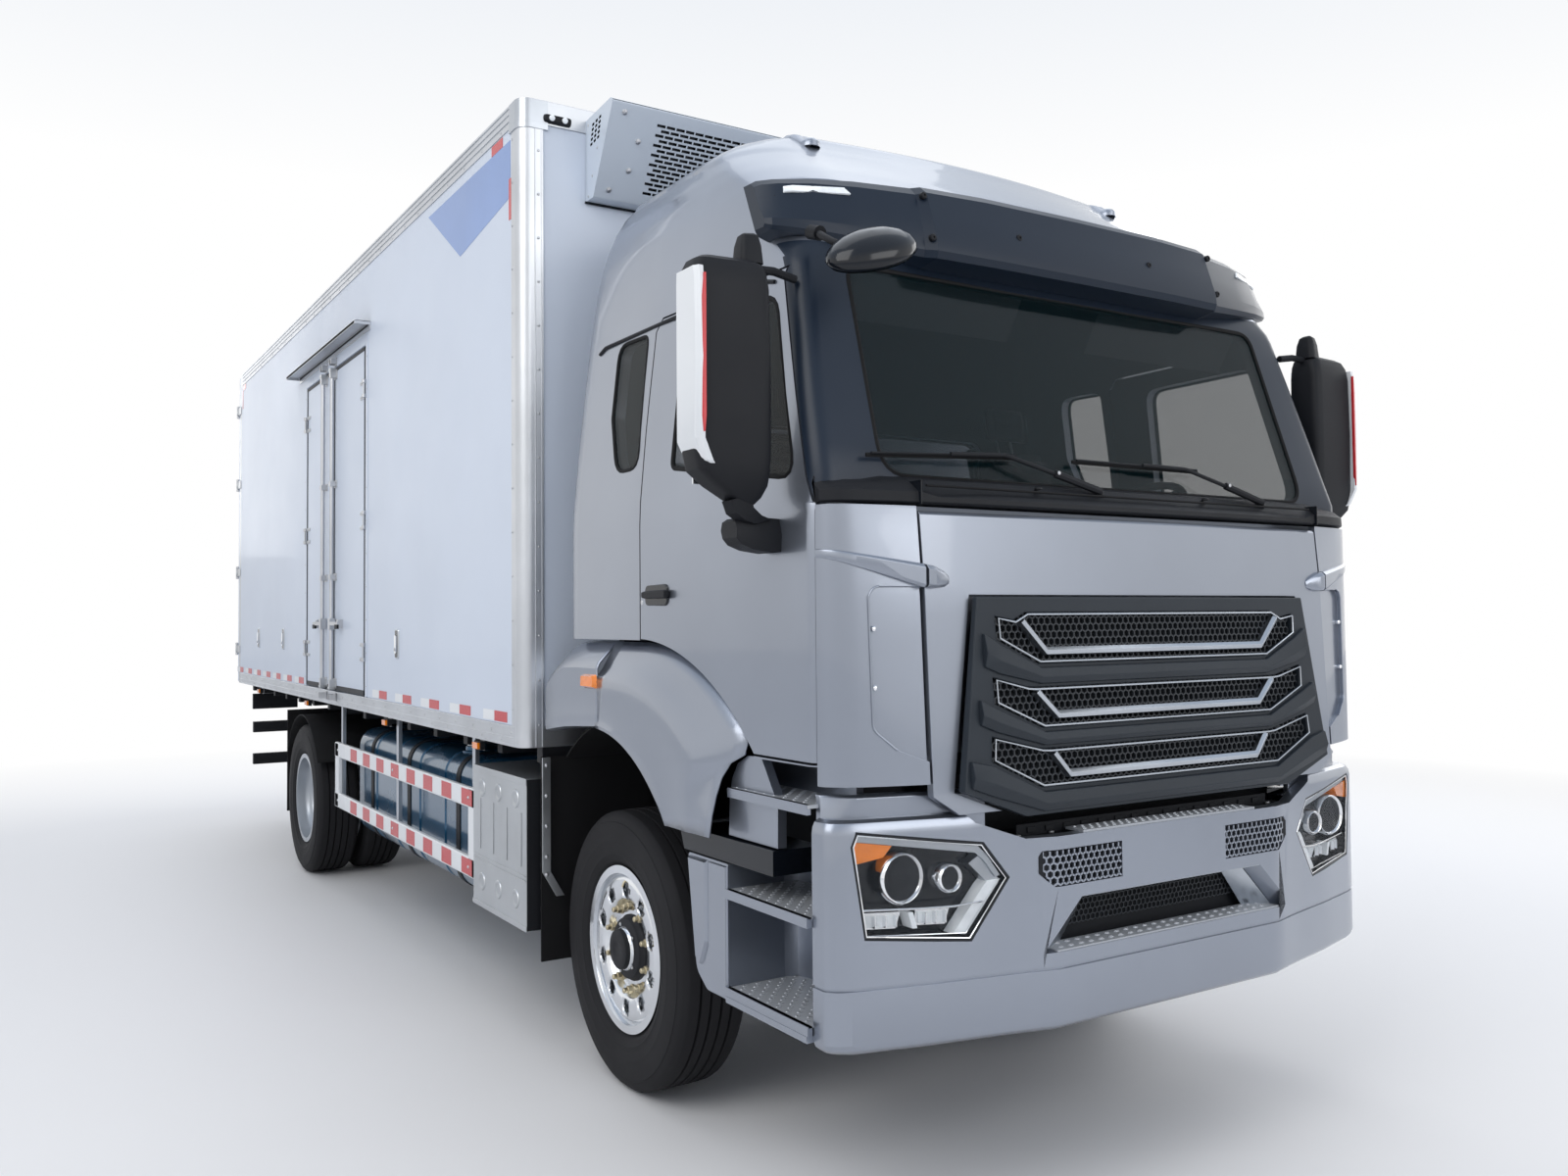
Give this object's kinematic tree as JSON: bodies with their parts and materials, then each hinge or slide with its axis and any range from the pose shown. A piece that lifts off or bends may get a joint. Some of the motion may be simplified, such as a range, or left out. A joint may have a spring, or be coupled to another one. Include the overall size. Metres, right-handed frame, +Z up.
{
  "type": "refrigerated box truck",
  "caption": "Rigid truck with a tilting cab, an insulated box body with side and rear doors, and a front-mounted cooling unit.",
  "frame": {"origin": "on the ground under the middle of the whole truck", "axes": "front faces -Y, left side is +X, up is +Z"},
  "size_m": [2.94, 8.973, 3.804],
  "materials": {
    "chassis_black": "satin, thin dust",
    "cab_paint": "glossy metallic silver blue",
    "box_white": "glossy white panel",
    "aluminium": "brushed extrusion",
    "stainless": "brushed",
    "visor_black": "gloss navy black",
    "trim_black": "fine grain",
    "grille_grey": "satin charcoal",
    "glass": "tinted",
    "lamp_glass": "clear lens",
    "lamp_red": "ribbed lens",
    "tyre": "ribbed rubber",
    "rim_polished": "polished forged",
    "rim_silver": "silver enamel",
    "tank_blue": "deep blue gloss",
    "guard_white": "white enamel with red tape",
    "cooler_white": "pale enamel",
    "dash_plastic": "grained",
    "seat_fabric": "woven cloth",
    "cast_iron": "as cast",
    "rubber_black": "moulded",
    "mirror_black": "gloss black"
  },
  "bodies": {
    "root": {"chassis_frame": "chassis_black", "tow_lug": "chassis_black", "box_subframe": "chassis_black", "front_axle": "cast_iron", "rear_axle": "cast_iron", "leaf_springs": "chassis_black", "engine": "cast_iron", "fuel_tank": "tank_blue", "battery_box": "stainless", "air_tanks": "chassis_black", "silencer": "stainless", "side_guards": "guard_white", "mud_flaps": "rubber_black", "underrun_guard": "chassis_black", "rear_lamps": "lamp_red", "bumper": "cab_paint", "headlamps": "lamp_glass", "lower_steps": "cab_paint", "box_floor": "aluminium", "box_front_wall": "box_white", "box_side_walls": "box_white", "box_roof": "box_white", "box_rear_frame": "stainless", "box_rails": "aluminium", "cooling_unit": "cooler_white"},
    "cab": {"cab_shell": "cab_paint", "cab_roof": "cab_paint", "cab_underframe": "chassis_black", "cab_windows": "glass", "sun_visor": "visor_black", "corner_panels": "cab_paint", "fenders": "cab_paint", "wiper_cowl": "trim_black", "dashboard": "dash_plastic", "steering_wheel": "trim_black", "seats": "seat_fabric", "kerb_mirror": "mirror_black"},
    "front_lid": {"front_panel": "cab_paint", "grille": "grille_grey"},
    "cab_door_left": {"door_left": "cab_paint", "door_glass_left": "glass", "mirror_left": "mirror_black"},
    "cab_door_right": {"door_right": "cab_paint", "door_glass_right": "glass", "mirror_right": "mirror_black"},
    "side_leaf_front": {"side_door_front": "box_white"},
    "side_leaf_rear": {"side_door_rear": "box_white"},
    "rear_leaf_left": {"rear_door_left": "box_white"},
    "rear_leaf_right": {"rear_door_right": "box_white"},
    "steer_left": {"knuckle_left": "cast_iron"},
    "steer_right": {"knuckle_right": "cast_iron"},
    "front_wheel_left": {"front_rim_left": "rim_polished", "front_tyre_left": "tyre"},
    "front_wheel_right": {"front_rim_right": "rim_polished", "front_tyre_right": "tyre"},
    "rear_wheels_left": {"rear_rims_left": "rim_silver", "rear_tyres_left": "tyre"},
    "rear_wheels_right": {"rear_rims_right": "rim_silver", "rear_tyres_right": "tyre"}
  },
  "joints": [
    {"name": "cab_tilt", "type": "hinge", "parent": "root", "child": "cab", "pos_m": [0, -4.2975, 0.85], "axis": [1, 0, 0], "range_deg": [0, 45]},
    {"name": "front_panel_lift", "type": "hinge", "parent": "cab", "child": "front_lid", "pos_m": [0, -4.3705, 1.983], "axis": [-1, 0, 0], "range_deg": [0, 75]},
    {"name": "cab_door_left_swing", "type": "hinge", "parent": "cab", "child": "cab_door_left", "pos_m": [1.153, -4.2475, 1.68], "axis": [0, 0, -1], "range_deg": [0, 70]},
    {"name": "cab_door_right_swing", "type": "hinge", "parent": "cab", "child": "cab_door_right", "pos_m": [-1.153, -4.2475, 1.68], "axis": [0, 0, 1], "range_deg": [0, 70]},
    {"name": "side_door_front_swing", "type": "hinge", "parent": "root", "child": "side_leaf_front", "pos_m": [-1.297, 0.0995, 2.268], "axis": [0, 0, 1], "range_deg": [0, 170]},
    {"name": "side_door_rear_swing", "type": "hinge", "parent": "root", "child": "side_leaf_rear", "pos_m": [-1.297, 1.6605, 2.268], "axis": [0, 0, -1], "range_deg": [0, 170]},
    {"name": "rear_door_left_swing", "type": "hinge", "parent": "root", "child": "rear_leaf_left", "pos_m": [1.289, 4.4565, 2.496], "axis": [0, 0, -1], "range_deg": [0, 250]},
    {"name": "rear_door_right_swing", "type": "hinge", "parent": "root", "child": "rear_leaf_right", "pos_m": [-1.289, 4.4565, 2.496], "axis": [0, 0, 1], "range_deg": [0, 250]},
    {"name": "steer", "type": "hinge", "parent": "root", "child": "steer_left", "pos_m": [0.88, -2.8925, 0.498], "axis": [0, 0, 1], "range_deg": [-38, 38]},
    {"name": "steer_right_follow", "type": "hinge", "parent": "root", "child": "steer_right", "pos_m": [-0.88, -2.8925, 0.498], "axis": [0, 0, 1], "range_deg": [-38, 38]},
    {"name": "front_wheel_left_spin", "type": "hinge", "parent": "steer_left", "child": "front_wheel_left", "pos_m": [0.985, -2.8925, 0.498], "axis": [1, 0, 0], "continuous": true},
    {"name": "front_wheel_right_spin", "type": "hinge", "parent": "steer_right", "child": "front_wheel_right", "pos_m": [-0.985, -2.8925, 0.498], "axis": [1, 0, 0], "continuous": true},
    {"name": "rear_wheels_left_spin", "type": "hinge", "parent": "root", "child": "rear_wheels_left", "pos_m": [0.969, 1.9075, 0.498], "axis": [1, 0, 0], "continuous": true},
    {"name": "rear_wheels_right_spin", "type": "hinge", "parent": "root", "child": "rear_wheels_right", "pos_m": [-0.969, 1.9075, 0.498], "axis": [1, 0, 0], "continuous": true}
  ],
  "couplings": [
    {"joint": "steer_right_follow", "follows": "steer", "ratio": 1}
  ]
}
